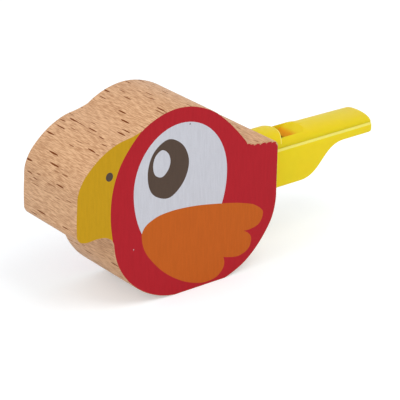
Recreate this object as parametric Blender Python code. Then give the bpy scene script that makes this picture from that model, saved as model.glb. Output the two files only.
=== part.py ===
"""A wooden bird whistle: a painted beech block with a two-part plastic whistle pushed into its tail.

X runs from the beak to the mouthpiece, Y through the block, Z up from the flat that the bird stands on.
"""
import math

import bmesh
import bpy
from mathutils import Matrix, Vector
from mathutils.geometry import delaunay_2d_cdt

# Sizes of the wooden block, in metres
BLOCK_LENGTH = 0.0690
BLOCK_HEIGHT = 0.0562
BLOCK_THICKNESS = 0.0260

# Whistle: lengths along X, from the wood to the mouth
SPIGOT_LENGTH = 0.0150
COLLAR_LENGTH = 0.0067
DOME_BOW = 0.0021
WINDOW_LENGTH = 0.0057
HEEL_LENGTH = 0.0013
KEEL_RISE_LENGTH = 0.0166
MOUTHPIECE_LENGTH = 0.0108

# Whistle: heights above or below its own axis
SEAM_HEIGHT = 0.0028
KEEL_DEPTH = 0.0088
DOME_SIDE_HEIGHT = 0.0040
DOME_HEIGHT = 0.0072

# Whistle: thickness of the base at the mouth, and the cover's rise above the seam
MOUTH_BASE_THICKNESS = 0.0027
WINDOW_ROOF_RISE = 0.0034
THROAT_ROOF_RISE = 0.0029
MOUTH_ROOF_RISE = 0.0023
THROAT_LENGTH = 0.0030

# Whistle: widths, the ledge beside the cover, walls and the air's way
WHISTLE_WIDTH = 0.0130
COVER_LEDGE = 0.0004
WALL = 0.0013
SPIGOT_RADIUS = 0.0057
WINDWAY_WIDTH = 0.0086
WINDWAY_BELOW_SEAM = 0.0012
WINDWAY_ABOVE_SEAM = 0.0004
RAMP_ANGLE = math.radians(30)
LIP_THICKNESS = 0.0004

# Fits, roundings and how finely curves are divided, the last in steps a curve
FIT_GAP = 0.0003
BORE_SPARE_DEPTH = 0.0010
EDGE_ROUND = 0.0007
MOUTH_CORNER = 0.0009
ROOF_FULLNESS = 2.2
DOME_FULLNESS = 2.5
CUT_MARGIN = 0.0010
CURVE_SPACING = 0.0012
ELLIPSE_STEPS = 40
KEEL_STEPS = 20
ARCH_STEPS = 28
BORE_STEPS = 64
ROUND_STEPS = 4
SMOOTH_BELOW = math.radians(32)

# The kind of cut drawing whose faces a mesh can take, and how near two of its points count as one
MESH_FACES = 4
SAME_POINT = 1e-7

# Knots of the block's side outline, as shares of its length and height from the middle of the flat base.
# Each run is a smooth curve, and neighbouring runs meet in a corner. They go clockwise from the brow.
BROW = (-0.283, 0.933)
NOTCH = (0.242, 0.714)
TAIL_END_TOP = (0.405, 0.650)
TAIL_END_LOW = (0.400, 0.395)
BASE_BACK = (0.130, 0.0)
BASE_FRONT = (-0.130, 0.0)
THROAT = (-0.427, 0.363)
BEAK_TIP = (-0.603, 0.475)
HEAD_RUN = [BROW, (-0.188, 0.986), (-0.102, 1.0), (-0.012, 0.980), (0.064, 0.936), (0.139, 0.861),
            (0.193, 0.790), NOTCH]
TAIL_TOP_RUN = [NOTCH, (0.270, 0.698), (0.320, 0.690), (0.373, 0.681), (0.394, 0.672), TAIL_END_TOP]
BELLY_RUN = [TAIL_END_LOW, (0.393, 0.314), (0.377, 0.253), (0.345, 0.189), (0.293, 0.114), (0.225, 0.048),
             (0.171, 0.017), BASE_BACK]
CHEST_RUN = [BASE_FRONT, (-0.209, 0.024), (-0.287, 0.074), (-0.362, 0.159), (-0.411, 0.265), THROAT]
CHIN_RUN = [THROAT, (-0.436, 0.402), (-0.460, 0.424), (-0.509, 0.434), (-0.558, 0.432), (-0.588, 0.444),
            BEAK_TIP]
BEAK_RUN = [BEAK_TIP, (-0.599, 0.616), (-0.591, 0.701), (-0.567, 0.759), (-0.524, 0.815), (-0.457, 0.873),
            (-0.397, 0.903), (-0.328, 0.918), BROW]

# Painted fields on the two flat faces, in the same shares. What lies outside the outline is cut off.
FACE_EDGE_RUN = [BROW, (-0.337, 0.868), (-0.383, 0.794), (-0.427, 0.662), (-0.440, 0.524), (-0.435, 0.430),
                 THROAT]
AROUND_BEAK = [THROAT, (-0.460, 0.300), (-0.700, 0.300), (-0.700, 1.100), (-0.283, 1.100)]
WING_RUNS = [
    [(-0.292, 0.385), (-0.281, 0.414), (-0.226, 0.453), (-0.151, 0.465), (-0.075, 0.461), (0.101, 0.425),
     (0.226, 0.386), (0.285, 0.357), (0.329, 0.302), (0.309, 0.246), (0.271, 0.231), (0.226, 0.232)],
    [(0.226, 0.232), (0.267, 0.178), (0.255, 0.127), (0.207, 0.101), (0.151, 0.110), (0.121, 0.122)],
    [(0.121, 0.122), (0.125, 0.075), (0.096, 0.030), (0.038, 0.014), (-0.038, 0.034), (-0.131, 0.094),
     (-0.226, 0.200), (-0.284, 0.315), (-0.292, 0.385)],
]
PUPIL_LOOP = [(-0.055, 0.709), (-0.088, 0.805), (-0.155, 0.850), (-0.224, 0.807), (-0.258, 0.709),
              (-0.235, 0.583), (-0.155, 0.540), (-0.088, 0.595), (-0.055, 0.709)]
GLINT_LOOP = [(-0.147, 0.732), (-0.160, 0.781), (-0.187, 0.803), (-0.217, 0.783), (-0.232, 0.732),
              (-0.220, 0.678), (-0.189, 0.661), (-0.162, 0.685), (-0.147, 0.732)]
# Each egg: centre, half length, and its half heights above and below the centre
EYE_PATCH = ((-0.095, 0.602), 0.233, 0.315, 0.393)
NOSTRIL = ((-0.442, 0.742), 0.017, 0.023, 0.023)

# Height of the whistle's axis above the base, as a share of the block's height
WHISTLE_AXIS_SHARE = 0.505


def clear_scene():
    for item in list(bpy.data.objects):
        bpy.data.objects.remove(item, do_unlink=True)


def material(name, colour, roughness):
    """A plain glossy or matt material of one colour (linear RGB)."""
    made = bpy.data.materials.new(name)
    made.use_nodes = True
    shader = made.node_tree.nodes["Principled BSDF"]
    shader.inputs["Base Color"].default_value = (*colour, 1.0)
    shader.inputs["Roughness"].default_value = roughness
    shader.inputs["Metallic"].default_value = 0.0
    made.diffuse_color = (*colour, 1.0)
    return made


def beech():
    return material("beech", (0.61, 0.37, 0.20), 0.55)


def red_paint():
    return material("red_paint", (0.42, 0.02, 0.03), 0.45)


def beak_paint():
    return material("beak_paint", (0.56, 0.33, 0.02), 0.45)


def patch_paint():
    return material("patch_paint", (0.60, 0.60, 0.64), 0.45)


def pupil_paint():
    return material("pupil_paint", (0.09, 0.06, 0.045), 0.45)


def wing_paint():
    return material("wing_paint", (0.53, 0.11, 0.015), 0.45)


def yellow_plastic():
    return material("yellow_plastic", (0.82, 0.64, 0.03), 0.25)


def smooth_run(knots):
    """Points of a smooth curve through the knots, with its last point left off. It may be a closed loop."""
    spans = [(b - a).length for a, b in zip(knots, knots[1:])]
    slopes = [(b - a) / span for a, b, span in zip(knots, knots[1:], spans)]
    tangents = []
    for before, after, left, right in zip(slopes, slopes[1:], spans, spans[1:]):
        tangents.append((before * right + after * left) / (left + right))
    if knots[0] == knots[-1]:
        closing = (slopes[-1] * spans[0] + slopes[0] * spans[-1]) / (spans[0] + spans[-1])
        tangents = [closing] + tangents + [closing]
    else:
        tangents = [2 * slopes[0] - tangents[0]] + tangents + [2 * slopes[-1] - tangents[-1]]
    points = []
    for i, span in enumerate(spans):
        steps = max(2, math.ceil(span / CURVE_SPACING))
        for step in range(steps):
            t = step / steps
            points.append(knots[i] * (2 * t**3 - 3 * t**2 + 1) + knots[i + 1] * (3 * t**2 - 2 * t**3)
                          + tangents[i] * span * (t**3 - 2 * t**2 + t)
                          + tangents[i + 1] * span * (t**3 - t**2))
    return points


def on_block(share):
    """A knot's place on the block's side, in metres."""
    return Vector((share[0] * BLOCK_LENGTH, share[1] * BLOCK_HEIGHT))


def block_run(shares):
    return smooth_run([on_block(share) for share in shares])


def egg(centre, half_length, rise, drop):
    """An ellipse whose upper and lower halves differ in height."""
    points = []
    for step in range(ELLIPSE_STEPS):
        angle = 2 * math.pi * step / ELLIPSE_STEPS
        half_height = rise if math.sin(angle) > 0 else drop
        points.append(on_block((centre[0] + half_length * math.cos(angle),
                                centre[1] + half_height * math.sin(angle))))
    return points


def anticlockwise(loop):
    area = sum(a.cross(b) for a, b in zip(loop, loop[1:] + loop[:1]))
    return loop if area > 0 else loop[::-1]


def side_drawing():
    """The block's outline and painted fields as loops of points, undermost first, with their paints."""
    outline = block_run(HEAD_RUN) + block_run(TAIL_TOP_RUN) + [on_block(TAIL_END_TOP)] + block_run(BELLY_RUN)
    outline += [on_block(BASE_BACK)] + block_run(CHEST_RUN) + block_run(CHIN_RUN) + block_run(BEAK_RUN)
    beak = block_run(FACE_EDGE_RUN) + [on_block(share) for share in AROUND_BEAK]
    wing = [point for run in WING_RUNS for point in block_run(run)]
    return [
        (outline, red_paint()),
        (beak, beak_paint()),
        (egg(*EYE_PATCH), patch_paint()),
        (block_run(PUPIL_LOOP), pupil_paint()),
        (block_run(GLINT_LOOP), patch_paint()),
        (egg(*NOSTRIL), pupil_paint()),
        (wing, wing_paint()),
    ]


def add_object(name, bm, paints, parent=None):
    mesh = bpy.data.meshes.new(name)
    bmesh.ops.recalc_face_normals(bm, faces=bm.faces)
    bm.to_mesh(mesh)
    bm.free()
    for paint in paints:
        mesh.materials.append(paint)
    made = bpy.data.objects.new(name, mesh)
    made.parent = parent
    bpy.context.scene.collection.objects.link(made)
    return made


def combine(target, tool, operation):
    """Adds the tool to the target or cuts it away, and hides the tool."""
    change = target.modifiers.new(tool.name, "BOOLEAN")
    change.operation = operation
    change.solver = "EXACT"
    change.object = tool
    tool.hide_render = True
    tool.display_type = "WIRE"


def prism(outline, half_width):
    """A closed solid: an outline in X and Z, drawn out along Y to both sides."""
    bm = bmesh.new()
    face = bm.faces.new([bm.verts.new((x, -half_width, z)) for x, z in outline])
    drawn = bmesh.ops.extrude_face_region(bm, geom=[face], use_keep_orig=True)
    ends = [item for item in drawn["geom"] if isinstance(item, bmesh.types.BMVert)]
    bmesh.ops.translate(bm, verts=ends, vec=(0, 2 * half_width, 0))
    return bm


def box_outline(x_low, x_high, z_low, z_high):
    return [(x_low, z_low), (x_high, z_low), (x_high, z_high), (x_low, z_high)]


def rod(radius, x_low, x_high):
    """A closed round bar along the whistle's axis."""
    bm = bmesh.new()
    bmesh.ops.create_cone(bm, cap_ends=True, segments=BORE_STEPS, radius1=radius, radius2=radius,
                          depth=x_high - x_low)
    bmesh.ops.transform(bm, matrix=Matrix.Translation(((x_low + x_high) / 2, 0, 0))
                        @ Matrix.Rotation(math.pi / 2, 4, "Y"), verts=bm.verts)
    return bm


def painted_block():
    """The sawn beech block, whose flat faces are divided along the edges of the painted fields."""
    drawing = side_drawing()
    points = []
    loops = []
    for outline, paint in drawing:
        loops.append(list(range(len(points), len(points) + len(outline))))
        points += anticlockwise(outline)
    spots, _, faces, _, _, owners = delaunay_2d_cdt(points, [], loops, MESH_FACES, SAME_POINT)
    bm = bmesh.new()
    corners = [bm.verts.new((spot.x, -BLOCK_THICKNESS / 2, spot.y)) for spot in spots]
    for loop, owner in zip(faces, owners):
        if 0 in owner:
            bm.faces.new([corners[i] for i in loop]).material_index = 1 + max(owner)
    bmesh.ops.delete(bm, geom=[corner for corner in corners if not corner.link_faces], context="VERTS")
    drawn = bmesh.ops.extrude_face_region(bm, geom=bm.faces[:], use_keep_orig=True)
    ends = [item for item in drawn["geom"] if isinstance(item, bmesh.types.BMVert)]
    bmesh.ops.translate(bm, verts=ends, vec=(0, BLOCK_THICKNESS, 0))
    bmesh.ops.recalc_face_normals(bm, faces=bm.faces)
    for face in bm.faces:
        if abs(face.normal.y) < 0.5:
            face.material_index = 0
    return add_object("bird_body", bm, [beech()] + [paint for _, paint in drawing])


def tail_end():
    return TAIL_END_TOP[0] * BLOCK_LENGTH


def bore_radius():
    return SPIGOT_RADIUS + FIT_GAP


def bore_tool(seat):
    """The blind hole in the tail, a little deeper than the spigot."""
    depth = SPIGOT_LENGTH + BORE_SPARE_DEPTH
    return add_object("bore_tool", rod(bore_radius(), -FIT_GAP - depth, CUT_MARGIN), [], seat)


def window_start():
    return COLLAR_LENGTH


def window_end():
    return window_start() + WINDOW_LENGTH


def heel_end():
    return window_end() + HEEL_LENGTH


def mouth_end():
    return heel_end() + KEEL_RISE_LENGTH + MOUTHPIECE_LENGTH


def keel_rise():
    """The double curve of the underside, from the deep keel up to the thin mouthpiece."""
    start = Vector((heel_end(), -KEEL_DEPTH))
    end = Vector((heel_end() + KEEL_RISE_LENGTH, SEAM_HEIGHT - MOUTH_BASE_THICKNESS))
    middle = (start.x + end.x) / 2
    points = []
    for step in range(KEEL_STEPS + 1):
        t = step / KEEL_STEPS
        along = start.x * (1 - t)**3 + 3 * middle * (1 - t) * t + end.x * t**3
        points.append(Vector((along, start.y + (end.y - start.y) * (3 * t**2 - 2 * t**3))))
    return points


def base_outline():
    """The lower moulding from the side, without its spigot."""
    low = SEAM_HEIGHT - MOUTH_BASE_THICKNESS
    corner = []
    for step in range(ROUND_STEPS + 1):
        angle = math.pi / 2 * step / ROUND_STEPS
        corner.append(Vector((mouth_end() - MOUTH_CORNER * (1 - math.sin(angle)),
                              low + MOUTH_CORNER * (1 - math.cos(angle)))))
    return [Vector((0, -KEEL_DEPTH))] + keel_rise() + corner + [
        Vector((mouth_end(), SEAM_HEIGHT)), Vector((0, SEAM_HEIGHT))]


def base_solid():
    """The keel, drawn out to the whistle's width, with its long lower edges rounded."""
    bm = prism(base_outline(), WHISTLE_WIDTH / 2)
    lower = [edge for edge in bm.edges
             if abs(edge.verts[0].co.y - edge.verts[1].co.y) < EDGE_ROUND
             and max(vert.co.z for vert in edge.verts) < SEAM_HEIGHT - MOUTH_CORNER
             and max(vert.co.x for vert in edge.verts) < mouth_end() - MOUTH_CORNER / 2]
    bmesh.ops.bevel(bm, geom=lower, offset=EDGE_ROUND, segments=ROUND_STEPS, profile=0.5, affect="EDGES",
                    clamp_overlap=True, material=-1)
    return bm


def whistle_base(seat, plastic):
    """The lower moulding: keel, lower half of the windway, chamber trough and hollow spigot."""
    base = add_object("whistle_base", base_solid(), [plastic], seat)
    spigot_end = -FIT_GAP - SPIGOT_LENGTH
    spigot = add_object("spigot_tool", rod(SPIGOT_RADIUS, spigot_end, WALL), [plastic], seat)
    combine(base, spigot, "UNION")
    over_seam = box_outline(-FIT_GAP, WALL + CUT_MARGIN, SEAM_HEIGHT, SPIGOT_RADIUS + CUT_MARGIN)
    combine(base, add_object("over_seam_tool", prism(over_seam, WHISTLE_WIDTH), [], seat), "DIFFERENCE")
    hollow = rod(SPIGOT_RADIUS - WALL, spigot_end + WALL, WALL + CUT_MARGIN)
    combine(base, add_object("spigot_hollow_tool", hollow, [], seat), "DIFFERENCE")
    trough = box_outline(WALL, window_end(), WALL - KEEL_DEPTH, SEAM_HEIGHT + CUT_MARGIN)
    combine(base, add_object("trough_tool", prism(trough, WHISTLE_WIDTH / 2 - WALL), [], seat), "DIFFERENCE")
    windway = box_outline(window_end() - CUT_MARGIN, mouth_end() + CUT_MARGIN,
                          SEAM_HEIGHT - WINDWAY_BELOW_SEAM, SEAM_HEIGHT + CUT_MARGIN)
    combine(base, add_object("base_windway_tool", prism(windway, WINDWAY_WIDTH / 2), [], seat), "DIFFERENCE")
    return base


def cover_floor():
    """Height of the cover's underside, just clear of the base's rim."""
    return SEAM_HEIGHT + FIT_GAP


def cover_half_width():
    return WHISTLE_WIDTH / 2 - COVER_LEDGE


def arch(rise, spring, fullness):
    """Half of a rounded section across the cover: Y and Z, from one side over the crown to the other."""
    points = []
    for step in range(ARCH_STEPS + 1):
        angle = math.pi * step / ARCH_STEPS
        across = math.copysign(abs(math.cos(angle))**(2 / fullness), math.cos(angle))
        points.append((-across * cover_half_width(), spring + rise * abs(math.sin(angle))**(2 / fullness)))
    return points


def skin(bm, line, following):
    """A strip of faces between two rows of points."""
    for i in range(len(line) - 1):
        bm.faces.new((line[i], line[i + 1], following[i + 1], following[i]))


def loft(stations):
    """A closed solid through sections (X, bow, rise, spring, fullness) that stand on the cover's floor.

    A section's middle lies further along X than its sides, by the bow.
    """
    bm = bmesh.new()
    arches = []
    floors = []
    for x, bow, rise, spring, fullness in stations:
        section = [(x + bow * (1 - (y / cover_half_width())**2), y, z)
                   for y, z in arch(rise, spring, fullness)]
        arches.append([bm.verts.new(point) for point in section])
        floors.append([bm.verts.new((along, y, cover_floor())) for along, y, z in section])
    for rows in (arches, floors, [(a[0], f[0]) for a, f in zip(arches, floors)],
                 [(a[-1], f[-1]) for a, f in zip(arches, floors)]):
        for line, following in zip(rows, rows[1:]):
            skin(bm, line, following)
    skin(bm, arches[0], floors[0])
    skin(bm, arches[-1], floors[-1])
    bmesh.ops.remove_doubles(bm, verts=bm.verts, dist=SAME_POINT)
    return bm


def roof_solid():
    """The mouthpiece's arched roof, which dips a little behind the ramp and thins towards the mouth."""
    ramp_top = window_end() + (WINDOW_ROOF_RISE - WINDWAY_ABOVE_SEAM) / math.tan(RAMP_ANGLE)
    floor = cover_floor()
    heights = [(WALL, WINDOW_ROOF_RISE), (ramp_top, WINDOW_ROOF_RISE),
               (ramp_top + THROAT_LENGTH / 2, (WINDOW_ROOF_RISE + THROAT_ROOF_RISE) / 2),
               (ramp_top + THROAT_LENGTH, THROAT_ROOF_RISE), (mouth_end(), MOUTH_ROOF_RISE)]
    return loft([(x, 0, SEAM_HEIGHT + rise - floor, floor, ROOF_FULLNESS) for x, rise in heights])


def dome_solid():
    """The raised collar that stands against the wood, with its front edge bowed towards the mouth."""
    rise = DOME_HEIGHT - DOME_SIDE_HEIGHT
    return loft([(x, bow, rise, DOME_SIDE_HEIGHT, DOME_FULLNESS)
                 for x, bow in ((0, 0), (window_start(), DOME_BOW))])


def whistle_cover(seat, plastic):
    """The upper moulding: domed collar, window with its ramp, and the roof over the windway."""
    cover = add_object("whistle_cover", roof_solid(), [plastic], seat)
    top = DOME_HEIGHT + CUT_MARGIN
    low = SEAM_HEIGHT - CUT_MARGIN
    ramp_foot = SEAM_HEIGHT + WINDWAY_ABOVE_SEAM
    window = [(window_start(), low), (window_end(), low), (window_end(), ramp_foot),
              (window_end() + (top - ramp_foot) / math.tan(RAMP_ANGLE), top), (window_start(), top)]
    combine(cover, add_object("window_tool", prism(window, WINDWAY_WIDTH / 2), [], seat), "DIFFERENCE")
    combine(cover, add_object("dome_tool", dome_solid(), [plastic], seat), "UNION")
    windway = box_outline(window_end() - CUT_MARGIN, mouth_end() + CUT_MARGIN, low, ramp_foot)
    combine(cover, add_object("cover_windway_tool", prism(windway, WINDWAY_WIDTH / 2), [], seat),
            "DIFFERENCE")
    ceiling = DOME_HEIGHT - 2 * WALL
    chamber = [(WALL, low), (window_start() - LIP_THICKNESS, low), (window_start() - WALL, ceiling),
               (WALL, ceiling)]
    combine(cover, add_object("dome_hollow_tool", prism(chamber, cover_half_width() - WALL), [], seat),
            "DIFFERENCE")
    return cover


def shade(item):
    item.data.shade_smooth()
    item.data.set_sharp_from_angle(angle=SMOOTH_BELOW)


def main():
    clear_scene()
    body = painted_block()
    seat = bpy.data.objects.new("whistle_seat", None)
    seat.location = (tail_end() + FIT_GAP, 0, WHISTLE_AXIS_SHARE * BLOCK_HEIGHT)
    bpy.context.scene.collection.objects.link(seat)
    plastic = yellow_plastic()
    base = whistle_base(seat, plastic)
    cover = whistle_cover(seat, plastic)
    combine(body, bore_tool(seat), "DIFFERENCE")
    for piece in (body, base, cover):
        shade(piece)


main()
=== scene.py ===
"""A bird whistle: a painted beech block with a yellow plastic whistle pushed into its tail.

X runs from the beak to the mouthpiece, Y through the block, Z up from the flat that the bird stands on.
Each operator makes one piece or the stage around them. Lengths are in metres.
"""

import math
import random
from bisect import bisect_right

import bmesh
import bpy
from bpy.props import FloatProperty, FloatVectorProperty, PointerProperty
from mathutils import Matrix, Vector
from mathutils.geometry import delaunay_2d_cdt


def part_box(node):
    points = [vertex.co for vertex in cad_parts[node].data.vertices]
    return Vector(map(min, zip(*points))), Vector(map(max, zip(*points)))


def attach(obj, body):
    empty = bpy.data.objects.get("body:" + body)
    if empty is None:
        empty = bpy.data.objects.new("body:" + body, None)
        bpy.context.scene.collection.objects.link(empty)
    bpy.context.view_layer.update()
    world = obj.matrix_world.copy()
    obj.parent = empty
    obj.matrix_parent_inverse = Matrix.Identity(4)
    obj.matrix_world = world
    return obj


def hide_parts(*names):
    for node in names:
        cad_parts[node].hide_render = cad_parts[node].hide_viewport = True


bl_info = {
    "name": "Bird Whistle",
    "version": (1, 0, 0),
    "blender": (4, 5, 0),
    "location": "View3D > Sidebar > Bird Whistle",
    "description": "Builds a painted wooden bird whistle with a plastic mouthpiece",
    "category": "Object",
}

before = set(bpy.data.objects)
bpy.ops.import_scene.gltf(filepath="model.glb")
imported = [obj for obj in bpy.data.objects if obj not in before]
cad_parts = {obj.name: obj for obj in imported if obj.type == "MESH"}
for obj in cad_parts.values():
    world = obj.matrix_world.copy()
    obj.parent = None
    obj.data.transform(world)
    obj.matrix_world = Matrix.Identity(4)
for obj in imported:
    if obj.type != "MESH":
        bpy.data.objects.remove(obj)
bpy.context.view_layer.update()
BLOCK_LOW, BLOCK_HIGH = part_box("bird_body")
BASE_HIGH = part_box("whistle_base")[1]
COVER_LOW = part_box("whistle_cover")[0]

MILLIMETRE = 0.001

# The side drawing's unit lengths: its points are shares of them, from the middle of the flat underneath
DRAWING_LENGTH = 0.0690
DRAWING_HEIGHT = BLOCK_HIGH.z

# Sawn outline, clockwise from the brow. Each run is a smooth curve, and runs meet in a corner.
BROW = (-0.283, 0.933)
NOTCH = (0.242, 0.714)
TAIL_END_TOP = (0.405, 0.650)
TAIL_END_LOW = (0.400, 0.395)
BASE_BACK = (0.130, 0.0)
BASE_FRONT = (-0.130, 0.0)
THROAT = (-0.427, 0.363)
BEAK_TIP = (-0.603, 0.475)
HEAD_RUN = [BROW, (-0.188, 0.986), (-0.102, 1.0), (-0.012, 0.980), (0.064, 0.936), (0.139, 0.861),
            (0.193, 0.790), NOTCH]
TAIL_TOP_RUN = [NOTCH, (0.270, 0.698), (0.320, 0.690), (0.373, 0.681), (0.394, 0.672), TAIL_END_TOP]
BELLY_RUN = [TAIL_END_LOW, (0.393, 0.314), (0.377, 0.253), (0.345, 0.189), (0.293, 0.114), (0.225, 0.048),
             (0.171, 0.017), BASE_BACK]
CHEST_RUN = [BASE_FRONT, (-0.209, 0.024), (-0.287, 0.074), (-0.362, 0.159), (-0.411, 0.265), THROAT]
CHIN_RUN = [THROAT, (-0.436, 0.402), (-0.460, 0.424), (-0.509, 0.434), (-0.558, 0.432), (-0.588, 0.444),
            BEAK_TIP]
BEAK_RUN = [BEAK_TIP, (-0.599, 0.616), (-0.591, 0.701), (-0.567, 0.759), (-0.524, 0.815), (-0.457, 0.873),
            (-0.397, 0.903), (-0.328, 0.918), BROW]

# Painted fields. What lies outside the outline is cut off.
FACE_EDGE_RUN = [BROW, (-0.337, 0.868), (-0.383, 0.794), (-0.427, 0.662), (-0.440, 0.524), (-0.435, 0.430),
                 THROAT]
AROUND_BEAK = [THROAT, (-0.460, 0.300), (-0.700, 0.300), (-0.700, 1.100), (-0.283, 1.100)]
WING_RUNS = [
    [(-0.292, 0.385), (-0.281, 0.414), (-0.226, 0.453), (-0.151, 0.465), (-0.075, 0.461), (0.101, 0.425),
     (0.226, 0.386), (0.285, 0.357), (0.329, 0.302), (0.309, 0.246), (0.271, 0.231), (0.226, 0.232)],
    [(0.226, 0.232), (0.267, 0.178), (0.255, 0.127), (0.207, 0.101), (0.151, 0.110), (0.121, 0.122)],
    [(0.121, 0.122), (0.125, 0.075), (0.096, 0.030), (0.038, 0.014), (-0.038, 0.034), (-0.131, 0.094),
     (-0.226, 0.200), (-0.284, 0.315), (-0.292, 0.385)],
]
PUPIL_LOOP = [(-0.055, 0.709), (-0.088, 0.805), (-0.155, 0.850), (-0.224, 0.807), (-0.258, 0.709),
              (-0.235, 0.583), (-0.155, 0.540), (-0.088, 0.595), (-0.055, 0.709)]
GLINT_LOOP = [(-0.147, 0.732), (-0.160, 0.781), (-0.187, 0.803), (-0.217, 0.783), (-0.232, 0.732),
              (-0.220, 0.678), (-0.189, 0.661), (-0.162, 0.685), (-0.147, 0.732)]
# Each egg: centre, half length, and its half heights above and below the centre
EYE_PATCH = ((-0.095, 0.602), 0.233, 0.315, 0.393)
NOSTRIL = ((-0.442, 0.742), 0.017, 0.023, 0.023)
PALE_SPECK = ((-0.332, 0.320), 0.0022, 0.0028, 0.0028)
DARK_SPECK = ((-0.049, 0.899), 0.003, 0.004, 0.004)

# How finely curves are divided
CURVE_SPACING = 0.0007
EGG_STEPS = 64
SPECK_STEPS = 10
ROUND_STEPS = 3
BORE_STEPS = 64

# Paint chips along the tail's upper edge: points along the edge, average width, how much the widths vary, and
# the share of the depth that is only roughness
CHIP_SPACING = 0.0003
CHIP_PITCH = 0.0015
CHIP_VARIATION = 0.6
CHIP_ROUGHNESS = 0.15
CHIP_SEED = 5

# Dividing the painted side: how near two points count as one, and the kind of result that has a face in
# each field and none with a hole in it
SAME_POINT = 1e-7
FACES_WITHOUT_HOLES = 4

# Moving an outline: how far out a sharp corner may run
CORNER_LIMIT = 0.5

# Each finish's place in the block's list
WOOD, RED, BEAK, PATCH, PUPIL, WING = range(6)

# Patterns in the wood, in repeats per metre along X, Y and Z. The grain runs along Y.
FINE_GRAIN = (4200, 400, 4200)
STREAKS = (1500, 110, 1500)
BANDS = (130, 12, 130)

# Flecks: width and length of the cell that each lies in, and how much of the cell it fills
DARK_FLECKS = (0.90 * MILLIMETRE, 8.5 * MILLIMETRE, 0.29)
FAINT_FLECKS = (0.80 * MILLIMETRE, 6.5 * MILLIMETRE, 0.26)
FLECK_CORE = 0.78
FLECK_DRIFT = 0.6
DRIFT_SCALE = 0.6

# How far red, green and blue light runs inside the plastic
LIGHT_DEPTH = (0.0030, 0.0016, 0.0003)

# Whistle: height of its axis above the base as a share of the block's height, and of the seam above the axis
SPIGOT_AXIS_SHARE = 0.505
SEAM_HEIGHT = 0.0028

# Window in the upper moulding: its start from the moulding's inner end, its length and half width, and
# where the painted shade at its foot, an amber, starts and ends behind that start
WINDOW_START = 0.0067
WINDOW_REACH = 0.0105
WINDOW_HALF_WIDTH = 0.0043
RECESS_SHADE_START = 0.0070
RECESS_SHADE_END = 0.0090

# Dome at the window: how far its front bows, and how high above the seam its lip starts
DOME_BOW = 0.0021
LIP_FOOT = 0.0012

# How squarely a face has to look up, back or forward to count as ramp, lip or flat side
RAMP_UP = 0.1
RAMP_BACK = -0.3
LIP_FORWARD = 0.6
FLAT_SIDE = 0.9999

# Joining a copied mesh, and which of its edges are flat, rounded or shaded sharp
MERGE_DISTANCE = 2e-6
FLAT_ANGLE = math.radians(0.4)
BEVEL_ANGLE = math.radians(38)
SHARP_ANGLE = math.radians(32)
RIM_SEGMENTS = 4
LIP_SEGMENTS = 3
EDGE_SEGMENTS = 2

# Stage
FLOOR_REACH = 4.0
FLOOR_DROP = 0.02 * MILLIMETRE
LAMP_TARGET = (0.0, 0.0, 0.025)
KEY_PLACE = (0.10, -0.42, 0.72)
KEY_SIZE = 0.5
FILL_PLACE = (-0.62, -0.06, 0.44)
FILL_SIZE = 0.5
SENSOR_WIDTH = 36.0
LENS = 187.38
CAMERA_TARGET = (0.0, -0.013, 0.026832)


class BlockSettings(bpy.types.PropertyGroup):
    """Sizes and colours of the painted block."""
    edge_round: FloatProperty(
        name="Edge rounding", description="Radius of the sanded edge around each flat face",
        default=0.12 * MILLIMETRE, unit="LENGTH")
    chip_depth: FloatProperty(
        name="Chip depth", description="How far the paint is nibbled back along the tail's upper edge",
        default=0.52 * MILLIMETRE, unit="LENGTH")
    wear_depth: FloatProperty(
        name="Edge wear", description="How far the paint is worn back along the rest of the edge",
        default=0.04 * MILLIMETRE, unit="LENGTH")
    bore_radius: FloatProperty(
        name="Bore radius", description="Radius of the hole in the tail",
        default=6.0 * MILLIMETRE, unit="LENGTH")
    bore_depth: FloatProperty(
        name="Bore depth", description="Depth of the hole in the tail",
        default=16.0 * MILLIMETRE, unit="LENGTH")
    wood_light: FloatVectorProperty(
        name="Pale wood", description="Colour of the wood between its streaks", subtype="COLOR",
        default=(0.72, 0.430, 0.236))
    wood_dark: FloatVectorProperty(
        name="Streaked wood", description="Colour of the wood's darker streaks", subtype="COLOR",
        default=(0.45, 0.225, 0.105))
    fleck: FloatVectorProperty(
        name="Flecks", description="Colour of the short dark flecks", subtype="COLOR",
        default=(0.17, 0.040, 0.003))
    red: FloatVectorProperty(
        name="Red paint", description="Colour of the body", subtype="COLOR", default=(0.445, 0.010, 0.019))
    beak: FloatVectorProperty(
        name="Beak paint", description="Colour of the beak", subtype="COLOR", default=(0.57, 0.315, 0.004))
    patch: FloatVectorProperty(
        name="Pale paint", description="Colour of the eye's surround and its spot", subtype="COLOR",
        default=(0.61, 0.61, 0.66))
    pupil: FloatVectorProperty(
        name="Brown paint", description="Colour of the eye and the nostril", subtype="COLOR",
        default=(0.088, 0.056, 0.040))
    wing: FloatVectorProperty(
        name="Wing paint", description="Colour of the wing", subtype="COLOR", default=(0.55, 0.112, 0.008))


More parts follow.
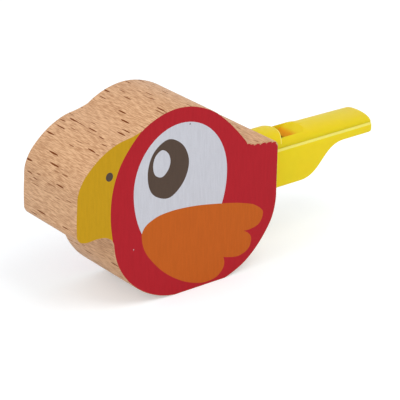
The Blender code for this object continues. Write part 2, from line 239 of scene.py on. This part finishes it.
class WhistleSettings(bpy.types.PropertyGroup):
    """Sizes and colours of the plastic whistle."""
    rim_round: FloatProperty(
        name="Seam rounding", description="Radius of the lower moulding's long upper edges",
        default=0.70 * MILLIMETRE, unit="LENGTH")
    edge_round: FloatProperty(
        name="Edge rounding", description="Radius of the other moulded edges",
        default=0.12 * MILLIMETRE, unit="LENGTH")
    lip_round: FloatProperty(
        name="Lip rounding", description="Radius of the dome's front edge",
        default=0.30 * MILLIMETRE, unit="LENGTH")
    seam: FloatProperty(
        name="Seam", description="Gap that shows between the two mouldings",
        default=0.03 * MILLIMETRE, unit="LENGTH")
    # The two mouldings are one yellow plastic, painted as lit and shaded copies: the lower lighter for its
    # side, the upper darker as painted shade on its upward-facing roof and dome
    plastic: FloatVectorProperty(
        name="Lower plastic", description="Colour of the lower moulding", subtype="COLOR",
        default=(0.92, 0.705, 0.021))
    shaded_cover: FloatVectorProperty(
        name="Upper plastic", description="Colour of the upper moulding", subtype="COLOR",
        default=(0.78, 0.595, 0.016))
    # Painted highlight: a paler yellow on the rounded rim along the seam and on the dome's rounded lip, where
    # these edges would catch the light
    weld: FloatVectorProperty(
        name="Weld", description="Paler colour of the plastic along the welded seam", subtype="COLOR",
        default=(0.93, 0.80, 0.17))
    # Painted shade: an amber on the foot of the window's ramp, down in the recess
    recess_shade: FloatVectorProperty(
        name="Deep plastic", description="Amber of the plastic at the foot of the window's ramp",
        subtype="COLOR", default=(0.80, 0.31, 0.010))


class StageSettings(bpy.types.PropertyGroup):
    """Camera, light and floor."""
    azimuth: FloatProperty(
        name="Azimuth", description="Camera's turn about the vertical, from straight ahead of the front",
        default=math.radians(-37.19), subtype="ANGLE")
    elevation: FloatProperty(
        name="Elevation", description="Camera's height above the level", default=math.radians(23.9),
        subtype="ANGLE")
    distance: FloatProperty(
        name="Distance", description="From the camera to the point it looks at", default=0.58162,
        unit="LENGTH")
    sky: FloatProperty(
        name="Surrounding light", description="Strength of the white light from all around", default=0.74)
    key: FloatProperty(
        name="Key light", description="Power of the large soft lamp", default=2.0)
    fill: FloatProperty(
        name="Fill light", description="Power of the soft lamp on the beak's side", default=1.3)
    floor: FloatVectorProperty(
        name="Floor", description="Colour of the floor", subtype="COLOR", default=(0.738, 0.772, 0.795))
    floor_lift: FloatProperty(
        name="Floor lift", description="Brightness that only the view of the floor gains", default=0.335)


class Sock:
    """A node's output that can be used in plain arithmetic."""

    def __init__(self, tree, socket):
        self.tree = tree
        self.socket = socket

    def math(self, operation, *others):
        node = self.tree.nodes.new("ShaderNodeMath")
        node.operation = operation
        for slot, value in zip(node.inputs, (self,) + others):
            plug(self.tree, value, slot)
        return Sock(self.tree, node.outputs[0])

    def __add__(self, other):
        return self.math("ADD", other)

    __radd__ = __add__

    def __mul__(self, other):
        return self.math("MULTIPLY", other)

    __rmul__ = __mul__

    def __sub__(self, other):
        return self.math("SUBTRACT", other)

    def __rsub__(self, other):
        return (self * -1.0) + other


def plug(tree, value, slot):
    """Links a socket, or writes a number or colour."""
    if isinstance(value, Sock):
        tree.links.new(value.socket, slot)
    elif slot.type == "RGBA":
        slot.default_value = (*value, 1.0)
    else:
        slot.default_value = value


class Finish:
    """One material's node tree, with short ways to the nodes that it needs."""

    def __init__(self, name, colour):
        self.material = bpy.data.materials.new(name)
        self.material.use_nodes = True
        self.material.diffuse_color = (*colour, 1.0)
        self.tree = self.material.node_tree
        self.shader = self.tree.nodes["Principled BSDF"]

    def node(self, kind, output=0, settings=None, **values):
        """Adds a node, with its settings first and then its inputs' values or links."""
        made = self.tree.nodes.new(kind)
        for key, value in (settings or {}).items():
            setattr(made, key, value)
        for key, value in values.items():
            plug(self.tree, value, made.inputs[key.replace("_", " ")])
        return Sock(self.tree, made.outputs[output])

    def place(self, scale):
        """The point on the piece, with each axis scaled."""
        where = self.node("ShaderNodeTexCoord", "Object")
        return self.node("ShaderNodeMapping", Vector=where, Scale=scale)

    def noise(self, vector, scale=1.0, detail=2.0, roughness=0.5, output="Fac"):
        """Soft random blotches."""
        return self.node("ShaderNodeTexNoise", output, Vector=vector, Scale=scale, Detail=detail,
                         Roughness=roughness)

    def step(self, value, start, end, low=0.0, high=1.0):
        """A smooth change from low to high as the value goes from start to end."""
        return self.node("ShaderNodeMapRange", settings={"interpolation_type": "SMOOTHSTEP"}, Value=value,
                         From_Min=start, From_Max=end, To_Min=low, To_Max=high)

    def mix(self, amount, first, second):
        """A colour between two others."""
        made = self.tree.nodes.new("ShaderNodeMix")
        made.data_type = "RGBA"
        plug(self.tree, amount, made.inputs[0])
        plug(self.tree, first, made.inputs[6])
        plug(self.tree, second, made.inputs[7])
        return Sock(self.tree, made.outputs[2])

    def bump(self, height, strength, distance):
        """Raises the surface by a height that varies from 0 to 1."""
        made = self.node("ShaderNodeBump", Height=height, Strength=strength, Distance=distance)
        plug(self.tree, made, self.shader.inputs["Normal"])

    def set(self, **values):
        """Sets the shader's own inputs."""
        for key, value in values.items():
            plug(self.tree, value, self.shader.inputs[key.replace("_", " ")])


def dashes(finish, width, length, reach):
    """Short dashes along Y, one in each cell: 1 on a dash and 0 elsewhere, and a random number for each."""
    vector = finish.place((1 / width, 1 / length, 1 / width))
    drift = finish.noise(vector, scale=DRIFT_SCALE, detail=1.0, output="Color")
    moved = finish.node("ShaderNodeVectorMath", settings={"operation": "MULTIPLY_ADD"}, Vector=drift)
    inputs = moved.socket.node.inputs
    inputs[1].default_value = (FLECK_DRIFT, FLECK_DRIFT, FLECK_DRIFT)
    plug(finish.tree, vector, inputs[2])
    cell = finish.node("ShaderNodeTexVoronoi", "Distance", Vector=moved, Scale=1.0)
    luck = finish.node("ShaderNodeSeparateColor", 0,
                       Color=Sock(finish.tree, cell.socket.node.outputs["Color"]))
    return finish.step(cell, reach, reach * FLECK_CORE), luck


def beech(settings):
    """Sanded beech, cut along the grain: fine streaks, broad soft bands, and short dark flecks."""
    finish = Finish("beech", settings.wood_light)
    fine = finish.noise(finish.place(FINE_GRAIN), detail=1.0)
    streak = finish.noise(finish.place(STREAKS), detail=3.0, roughness=0.7)
    band = finish.noise(finish.place(BANDS), detail=2.0)
    shade = finish.step(0.80 * fine + 0.10 * streak + 0.10 * band, 0.33, 0.67)
    colour = finish.mix(shade, settings.wood_light, settings.wood_dark)
    dark, dark_luck = dashes(finish, *DARK_FLECKS)
    faint, faint_luck = dashes(finish, *FAINT_FLECKS)
    dark = dark * finish.step(dark_luck, 0.60, 0.72)
    faint = faint * finish.step(faint_luck, 0.45, 1.0, 0.0, 0.85)
    flecks = dark.math("MAXIMUM", faint)
    finish.set(Base_Color=finish.mix(flecks, colour, settings.fleck),
               Roughness=finish.step(flecks + 0.3 * fine, 0.0, 1.0, 0.52, 1.0), Specular_IOR_Level=0.32)
    finish.bump(0.35 * fine + 0.15 * streak - flecks, 0.4, 0.12 * MILLIMETRE)
    return finish.material


def paint(name, colour):
    """Satin paint rolled on the end grain, which shows faintly through it."""
    finish = Finish(name, colour)
    streaks = finish.noise(finish.place((1500, 300, 160)), detail=3.0, roughness=0.6)
    pores = finish.noise(finish.place((2600, 2600, 2600)), detail=2.0)
    darker = tuple(channel * 0.95 for channel in colour)
    lighter = tuple(min(1.0, channel * 1.03 + 0.002) for channel in colour)
    finish.set(Base_Color=finish.mix(finish.step(0.7 * streaks + 0.3 * pores, 0.35, 0.65), darker, lighter),
               Roughness=finish.step(streaks, 0.3, 0.7, 0.45, 0.55), Specular_IOR_Level=0.12)
    finish.bump(0.5 * streaks + 0.5 * pores, 0.08, 0.05 * MILLIMETRE)
    return finish.material


def moulded_plastic(name, colour, recess_shade=None, recess_shade_from=0.0, recess_shade_to=1.0):
    """Moulded plastic with a soft gloss, slightly uneven. Along X it may turn from an amber painted shade to
    its own colour.
    """
    finish = Finish(name, colour)
    wave = finish.noise(finish.place((420, 420, 420)), detail=2.0)
    grain = finish.noise(finish.place((2400, 2400, 2400)), detail=2.0)
    darker = tuple(channel * 0.95 for channel in colour)
    surface = finish.mix(wave, darker, colour)
    # Painted shade in the recess: the amber gives way to the plastic's own colour along X
    if recess_shade:
        along = finish.node("ShaderNodeSeparateXYZ", "X", Vector=finish.place((1, 1, 1)))
        surface = finish.mix(finish.step(along, recess_shade_from, recess_shade_to), recess_shade, surface)
    finish.set(Base_Color=surface, Roughness=finish.step(grain, 0.3, 0.7, 0.37, 0.41), IOR=1.15,
               Subsurface_Weight=0.35, Subsurface_Radius=LIGHT_DEPTH, Subsurface_Scale=1.0)
    finish.bump(wave, 0.03, 0.05 * MILLIMETRE)
    return finish.material


def smooth_run(knots):
    """Points of a smooth curve through the knots, with its last point left off. It may be a closed loop."""
    spans = [(b - a).length for a, b in zip(knots, knots[1:])]
    slopes = [(b - a) / span for a, b, span in zip(knots, knots[1:], spans)]
    tangents = []
    for before, after, left, right in zip(slopes, slopes[1:], spans, spans[1:]):
        tangents.append((before * right + after * left) / (left + right))
    if knots[0] == knots[-1]:
        closing = (slopes[-1] * spans[0] + slopes[0] * spans[-1]) / (spans[0] + spans[-1])
        tangents = [closing] + tangents + [closing]
    else:
        tangents = [2 * slopes[0] - tangents[0]] + tangents + [2 * slopes[-1] - tangents[-1]]
    points = []
    for i, span in enumerate(spans):
        steps = max(2, math.ceil(span / CURVE_SPACING))
        for step in range(steps):
            t = step / steps
            points.append(knots[i] * (2 * t**3 - 3 * t**2 + 1) + knots[i + 1] * (3 * t**2 - 2 * t**3)
                          + tangents[i] * span * (t**3 - 2 * t**2 + t)
                          + tangents[i + 1] * span * (t**3 - t**2))
    return points


def on_block(share):
    """A knot's place on the block's side."""
    return Vector((share[0] * DRAWING_LENGTH, share[1] * DRAWING_HEIGHT))


def block_run(shares):
    """Points of a smooth curve on the block's side."""
    return smooth_run([on_block(share) for share in shares])


def egg(centre, half_length, rise, drop, steps=EGG_STEPS):
    """An ellipse whose upper and lower halves differ in height."""
    points = []
    for step in range(steps):
        angle = 2 * math.pi * step / steps
        half_height = rise if math.sin(angle) > 0 else drop
        points.append(on_block((centre[0] + half_length * math.cos(angle),
                                centre[1] + half_height * math.sin(angle))))
    return points


def anticlockwise(loop):
    """The loop, turned round if it runs clockwise."""
    area = sum(a.cross(b) for a, b in zip(loop, loop[1:] + loop[:1]))
    return loop if area > 0 else loop[::-1]


def moved_out(loop, distance):
    """An anticlockwise loop with each point moved square to it, outwards where the distance is above 0."""
    points = []
    for i, point in enumerate(loop):
        before = (point - loop[i - 1]).normalized()
        after = (loop[(i + 1) % len(loop)] - point).normalized()
        out = Vector((before.y + after.y, -before.x - after.x))
        points.append(point + out * distance / max(CORNER_LIMIT, out.length_squared / 2))
    return points


def block_outline():
    """The sawn outline, anticlockwise."""
    loop = block_run(HEAD_RUN) + block_run(TAIL_TOP_RUN) + [on_block(TAIL_END_TOP)] + block_run(BELLY_RUN)
    loop += [on_block(BASE_BACK)] + block_run(CHEST_RUN) + block_run(CHIN_RUN) + block_run(BEAK_RUN)
    return anticlockwise(loop)


def divided(loop, spacing):
    """A loop with extra points on its longer sides."""
    points = []
    for point, following in zip(loop, loop[1:] + loop[:1]):
        steps = max(1, round((following - point).length / spacing))
        points += [point.lerp(following, step / steps) for step in range(steps)]
    return points


def paint_edge(outline, settings):
    """Where the paint ends: worn back a little all round, and nibbled along the tail's upper edge."""
    luck = random.Random(CHIP_SEED)
    loop = divided(outline, CHIP_SPACING)
    notch = on_block(NOTCH)
    nibble = [luck.random() for _ in loop]
    starts = [notch.x]
    while starts[-1] < BLOCK_HIGH.x:
        starts.append(starts[-1] + CHIP_PITCH * luck.uniform(1 - CHIP_VARIATION, 1 + CHIP_VARIATION))
    tail_low = on_block(TAIL_END_TOP).y - settings.edge_round
    points = []
    for i, (full, far_in) in enumerate(zip(moved_out(loop, -settings.edge_round), moved_out(loop, -1.0))):
        inward = (far_in - full).normalized()
        on_tail = full.x > notch.x and full.y > tail_low
        if on_tail:
            chip = bisect_right(starts, full.x)
            width = starts[chip] - starts[chip - 1]
            fall = ((starts[chip] - full.x) / width)**2
            depth = settings.chip_depth * (fall * min(1.0, width / CHIP_PITCH) + CHIP_ROUGHNESS * nibble[i])
        else:
            depth = settings.wear_depth * nibble[i]
        points.append(full + inward * depth)
    return points


def side_sheet(settings):
    """The block's front face, divided along the edges of its painted fields."""
    outline = block_outline()
    fields = [
        (moved_out(outline, -settings.edge_round), WOOD),
        (paint_edge(outline, settings), RED),
        (block_run(FACE_EDGE_RUN) + [on_block(share) for share in AROUND_BEAK], BEAK),
        (egg(*EYE_PATCH), PATCH),
        (block_run(PUPIL_LOOP), PUPIL),
        (block_run(GLINT_LOOP), PATCH),
        (egg(*NOSTRIL), PUPIL),
        ([point for run in WING_RUNS for point in block_run(run)], WING),
        (egg(*PALE_SPECK, SPECK_STEPS), PATCH),
        (egg(*DARK_SPECK, SPECK_STEPS), PUPIL),
    ]
    points = []
    loops = []
    for loop, _ in fields:
        loops.append(list(range(len(points), len(points) + len(loop))))
        points += anticlockwise(loop)
    spots, _, faces, _, _, owners = delaunay_2d_cdt(points, [], loops, FACES_WITHOUT_HOLES, SAME_POINT)
    bm = bmesh.new()
    corners = [bm.verts.new((spot.x, BLOCK_LOW.y, spot.y)) for spot in spots]
    for loop, owner in zip(faces, owners):
        if 0 in owner:
            face = bm.faces.new([corners[i] for i in loop])
            face.material_index = fields[max(owner)][1] if 1 in owner else WOOD
    loose = [vert for vert in bm.verts if not vert.link_faces]
    bmesh.ops.delete(bm, geom=loose, context="VERTS")
    return bm


def draw_back(bm, radius):
    """Draws the front face's border into a rounded edge, and on to the middle of the block."""
    outward = bm.verts.layers.float_vector.new("outward")
    border = [edge for edge in bm.edges if edge.is_boundary]
    for edge in border:
        corner = edge.link_loops[0]
        along = (corner.link_loop_next.vert.co - corner.vert.co).normalized()
        for vert in edge.verts:
            vert[outward] += Vector((along.z, 0, -along.x))
    for vert in {vert for edge in border for vert in edge.verts}:
        vert[outward] /= max(CORNER_LIMIT, vert[outward].length_squared / 2)
    turns = [math.pi / 2 * step / ROUND_STEPS for step in range(ROUND_STEPS + 1)]
    rings = [(radius * math.sin(turn), radius * (1 - math.cos(turn))) for turn in turns]
    rings.append((radius, -BLOCK_LOW.y))
    for (out, depth), (next_out, next_depth) in zip(rings, rings[1:]):
        drawn = bmesh.ops.extrude_edge_only(bm, edges=border)["geom"]
        border = [item for item in drawn if isinstance(item, bmesh.types.BMEdge) and item.is_boundary]
        for vert in {vert for edge in border for vert in edge.verts}:
            vert.co += vert[outward] * (next_out - out) + Vector((0, next_depth - depth, 0))


def add_piece(name, bm, finishes):
    """Makes an object of a mesh, with its faces turned outwards."""
    bmesh.ops.recalc_face_normals(bm, faces=bm.faces)
    mesh = bpy.data.meshes.new(name)
    bm.to_mesh(mesh)
    bm.free()
    for finish in finishes:
        mesh.materials.append(finish)
    piece = bpy.data.objects.new(name, mesh)
    bpy.context.scene.collection.objects.link(piece)
    return piece


def settle(piece):
    """Applies a piece's modifiers."""
    evaluated = piece.evaluated_get(bpy.context.evaluated_depsgraph_get())
    mesh = bpy.data.meshes.new_from_object(evaluated)
    old = piece.data
    piece.modifiers.clear()
    piece.data = mesh
    bpy.data.meshes.remove(old)
    mesh.name = piece.name


def bore_tail(piece, settings):
    """Cuts the blind hole for the whistle into the tail."""
    bm = bmesh.new()
    bmesh.ops.create_cone(bm, cap_ends=True, segments=BORE_STEPS, radius1=settings.bore_radius,
                          radius2=settings.bore_radius, depth=2 * settings.bore_depth)
    middle = Vector((BLOCK_HIGH.x, 0, whistle_axis()))
    bmesh.ops.transform(bm, matrix=Matrix.Translation(middle) @ Matrix.Rotation(math.pi / 2, 4, "Y"),
                        verts=bm.verts)
    tool = add_piece("bore_tool", bm, [])
    change = piece.modifiers.new("bore", "BOOLEAN")
    change.operation = "DIFFERENCE"
    change.solver = "EXACT"
    change.object = tool
    settle(piece)
    bpy.data.objects.remove(tool)


def whistle_axis():
    """Height of the spigot's middle."""
    return SPIGOT_AXIS_SHARE * DRAWING_HEIGHT


def shade(piece, sharp_above, flat_sides=False):
    """Smooths a piece's shading, apart from its sharp edges and the border of its flat sides."""
    bm = bmesh.new()
    bm.from_mesh(piece.data)
    for face in bm.faces:
        face.smooth = True
    for edge in bm.edges:
        sharp = len(edge.link_faces) != 2 or edge.calc_face_angle() > sharp_above
        if flat_sides and not sharp:
            sharp = len({abs(face.normal.y) > FLAT_SIDE for face in edge.link_faces}) == 2
        edge.smooth = not sharp
    bm.to_mesh(piece.data)
    bm.free()


def node_copy(node):
    """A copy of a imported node's mesh with its loose triangles joined, as broad faces."""
    bm = bmesh.new()
    bm.from_mesh(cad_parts[node].data)
    bmesh.ops.remove_doubles(bm, verts=bm.verts, dist=MERGE_DISTANCE)
    bmesh.ops.dissolve_limit(bm, angle_limit=FLAT_ANGLE, verts=bm.verts, edges=bm.edges)
    return bm


def soften(piece, radius):
    """Rounds a moulding's sharp edges."""
    change = piece.modifiers.new("moulded edges", "BEVEL")
    change.width = radius
    change.segments = EDGE_SEGMENTS
    change.limit_method = "ANGLE"
    change.angle_limit = BEVEL_ANGLE
    settle(piece)


class BIRD_OT_block(bpy.types.Operator):
    """Make the painted beech block"""
    bl_idname = "bird.block"
    bl_label = "Painted block"

    def execute(self, context):
        settings = context.scene.bird_block
        bm = side_sheet(settings)
        draw_back(bm, settings.edge_round)
        bmesh.ops.mirror(bm, geom=bm.verts[:] + bm.edges[:] + bm.faces[:], matrix=Matrix.Identity(4),
                         merge_dist=MERGE_DISTANCE, axis="Y")
        finishes = [beech(settings), paint("red_paint", settings.red), paint("beak_paint", settings.beak),
                    paint("pale_paint", settings.patch), paint("brown_paint", settings.pupil),
                    paint("wing_paint", settings.wing)]
        block = add_piece("painted_block", bm, finishes)
        bore_tail(block, settings)
        shade(block, SHARP_ANGLE, flat_sides=True)
        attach(block, "root")
        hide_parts("bird_body")
        return {"FINISHED"}


class BIRD_OT_lower_moulding(bpy.types.Operator):
    """Make the whistle's lower moulding"""
    bl_idname = "bird.lower_moulding"
    bl_label = "Lower moulding"

    def execute(self, context):
        settings = context.scene.bird_whistle
        bm = node_copy("whistle_base")
        seam = whistle_axis() + SEAM_HEIGHT
        seam_verts = [vert for vert in bm.verts if abs(vert.co.z - seam) < MERGE_DISTANCE]
        rim_top = COVER_LOW.z - settings.seam
        for vert in seam_verts:
            vert.co.z = rim_top
        rims = [edge for edge in bm.edges
                if all(vert in seam_verts and abs(abs(vert.co.y) - BASE_HIGH.y) < MERGE_DISTANCE
                       for vert in edge.verts)]
        if not rims:
            raise RuntimeError("the lower moulding has no long upper edges")
        bmesh.ops.bevel(bm, geom=rims, offset=settings.rim_round, segments=RIM_SEGMENTS, profile=0.5,
                        affect="EDGES", clamp_overlap=True, material=-1)
        # The rounded rims and the top of the seam take the paler colour, a painted highlight along the seam
        for face in bm.faces:
            if min(vert.co.z for vert in face.verts) > rim_top - settings.rim_round - MERGE_DISTANCE:
                face.material_index = 1
        piece = add_piece("lower_moulding", bm, [moulded_plastic("lit_lower_plastic", settings.plastic),
                                                 moulded_plastic("seam_painted_highlight", settings.weld)])
        soften(piece, settings.edge_round)
        shade(piece, SHARP_ANGLE)
        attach(piece, "root")
        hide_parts("whistle_base")
        return {"FINISHED"}


class BIRD_OT_upper_moulding(bpy.types.Operator):
    """Make the whistle's upper moulding"""
    bl_idname = "bird.upper_moulding"
    bl_label = "Upper moulding"

    def execute(self, context):
        settings = context.scene.bird_whistle
        bm = node_copy("whistle_cover")
        window = COVER_LOW.x + WINDOW_START
        # The window's ramp takes the material with the painted shade at its foot
        for face in bm.faces:
            middle = face.calc_center_median()
            if (abs(middle.y) < WINDOW_HALF_WIDTH + MERGE_DISTANCE and face.normal.z > RAMP_UP
                    and window < middle.x < window + WINDOW_REACH and face.normal.x < RAMP_BACK):
                face.material_index = 1
        lip = [edge for edge in bm.edges if edge.is_convex and edge.calc_face_angle() > BEVEL_ANGLE
               and all(window - MERGE_DISTANCE < vert.co.x < window + DOME_BOW + MERGE_DISTANCE
                       and vert.co.z > COVER_LOW.z + LIP_FOOT for vert in edge.verts)
               and max(face.normal.x for face in edge.link_faces) > LIP_FORWARD]
        if not lip:
            raise RuntimeError("the upper moulding has no lip")
        rounded = bmesh.ops.bevel(bm, geom=lip, offset=settings.lip_round, segments=LIP_SEGMENTS, profile=0.5,
                                  affect="EDGES", clamp_overlap=False, material=-1)
        # The rounded lip takes the paler colour, a painted highlight along the dome's front edge
        for face in rounded["faces"]:
            face.material_index = 2
        # Painted shade: amber at the foot of the window's ramp
        recess_shade = moulded_plastic("window_painted_shade", settings.shaded_cover, settings.recess_shade, window + RECESS_SHADE_START,
                               window + RECESS_SHADE_END)
        piece = add_piece("upper_moulding", bm, [moulded_plastic("shaded_upper_plastic", settings.shaded_cover), recess_shade,
                                                 moulded_plastic("lip_painted_highlight", settings.weld)])
        soften(piece, settings.edge_round)
        shade(piece, SHARP_ANGLE)
        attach(piece, "root")
        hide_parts("whistle_cover")
        return {"FINISHED"}


def seen_directly(tree):
    """1 for rays from the camera and for those that a surface reflects or lets through."""
    path = tree.nodes.new("ShaderNodeLightPath")
    seen = Sock(tree, path.outputs["Is Camera Ray"])
    for kind in ("Is Glossy Ray", "Is Transmission Ray"):
        seen = seen.math("MAXIMUM", Sock(tree, path.outputs[kind]))
    return seen


def floor_finish(settings):
    """White paper. It looks a little brighter than it is, so that it meets the white background."""
    finish = Finish("floor", settings.floor)
    lift = seen_directly(finish.tree) * settings.floor_lift
    finish.set(Base_Color=settings.floor, Roughness=0.9, Specular_IOR_Level=0.1, Emission_Color=lift,
               Emission_Strength=1.0)
    return finish.material


class BIRD_OT_stage(bpy.types.Operator):
    """Make the floor, the lamps and the camera"""
    bl_idname = "bird.stage"
    bl_label = "Stage"

    def execute(self, context):
        settings = context.scene.bird_stage
        bm = bmesh.new()
        bmesh.ops.create_grid(bm, x_segments=1, y_segments=1, size=FLOOR_REACH)
        bmesh.ops.translate(bm, verts=bm.verts, vec=(0, 0, -FLOOR_DROP))
        floor = add_piece("floor", bm, [floor_finish(settings)])
        self.add_sky(context, settings)
        for name, spot, size, power in (("key", KEY_PLACE, KEY_SIZE, settings.key),
                                        ("fill", FILL_PLACE, FILL_SIZE, settings.fill)):
            self.add_lamp(context, name, Vector(spot), size, power)
        self.add_camera(context, settings)
        return {"FINISHED"}

    def add_sky(self, context, settings):
        """White light from all around, and a brighter white where it is seen directly."""
        world = bpy.data.worlds.new("white_surround")
        world.use_nodes = True
        tree = world.node_tree
        tree.nodes.clear()
        seen = seen_directly(tree)
        light = tree.nodes.new("ShaderNodeBackground")
        light.inputs["Strength"].default_value = settings.sky
        backdrop = tree.nodes.new("ShaderNodeBackground")
        choice = tree.nodes.new("ShaderNodeMixShader")
        output = tree.nodes.new("ShaderNodeOutputWorld")
        plug(tree, seen, choice.inputs[0])
        tree.links.new(light.outputs[0], choice.inputs[1])
        tree.links.new(backdrop.outputs[0], choice.inputs[2])
        tree.links.new(choice.outputs[0], output.inputs[0])
        for background in (light, backdrop):
            background.inputs["Color"].default_value = (1.0, 1.0, 1.0, 1.0)
        context.scene.world = world

    def add_lamp(self, context, name, spot, size, power):
        """A round soft lamp that faces the toy."""
        lamp = bpy.data.lights.new(name, "AREA")
        lamp.shape = "DISK"
        lamp.size = size
        lamp.energy = power
        holder = bpy.data.objects.new(name, lamp)
        holder.location = spot
        holder.rotation_euler = (spot - Vector(LAMP_TARGET)).to_track_quat("Z", "Y").to_euler()
        context.scene.collection.objects.link(holder)

    def add_camera(self, context, settings):
        """The camera, turned and raised about the point that it looks at."""
        lens = bpy.data.cameras.new("camera")
        lens.sensor_width = SENSOR_WIDTH
        lens.lens = LENS
        camera = bpy.data.objects.new("camera", lens)
        level = math.cos(settings.elevation)
        back = Vector((math.sin(settings.azimuth) * level, -math.cos(settings.azimuth) * level,
                       math.sin(settings.elevation)))
        camera.location = Vector(CAMERA_TARGET) + back * settings.distance
        camera.rotation_euler = back.to_track_quat("Z", "Y").to_euler()
        context.scene.collection.objects.link(camera)
        context.scene.camera = camera


class BIRD_PT_panel(bpy.types.Panel):
    """Lists the pieces and their settings"""
    bl_idname = "BIRD_PT_panel"
    bl_label = "Bird Whistle"
    bl_space_type = "VIEW_3D"
    bl_region_type = "UI"
    bl_category = "Bird Whistle"

    def draw(self, context):
        for title, group, operators in (
                ("Block", context.scene.bird_block, (BIRD_OT_block,)),
                ("Whistle", context.scene.bird_whistle, (BIRD_OT_lower_moulding, BIRD_OT_upper_moulding)),
                ("Stage", context.scene.bird_stage, (BIRD_OT_stage,))):
            box = self.layout.box()
            box.label(text=title)
            for name in group.__annotations__:
                box.prop(group, name)
            for operator in operators:
                box.operator(operator.bl_idname)


CLASSES = (BlockSettings, WhistleSettings, StageSettings, BIRD_OT_block, BIRD_OT_lower_moulding,
           BIRD_OT_upper_moulding, BIRD_OT_stage, BIRD_PT_panel)


def register():
    for item in CLASSES:
        bpy.utils.register_class(item)
    bpy.types.Scene.bird_block = PointerProperty(type=BlockSettings)
    bpy.types.Scene.bird_whistle = PointerProperty(type=WhistleSettings)
    bpy.types.Scene.bird_stage = PointerProperty(type=StageSettings)


def unregister():
    del bpy.types.Scene.bird_stage
    del bpy.types.Scene.bird_whistle
    del bpy.types.Scene.bird_block
    for item in reversed(CLASSES):
        bpy.utils.unregister_class(item)


def main():
    register()
    bpy.ops.bird.stage()
    bpy.ops.bird.block()
    bpy.ops.bird.lower_moulding()
    bpy.ops.bird.upper_moulding()
    bpy.context.scene.view_settings.view_transform = "Standard"


if __name__ == "__main__":
    main()
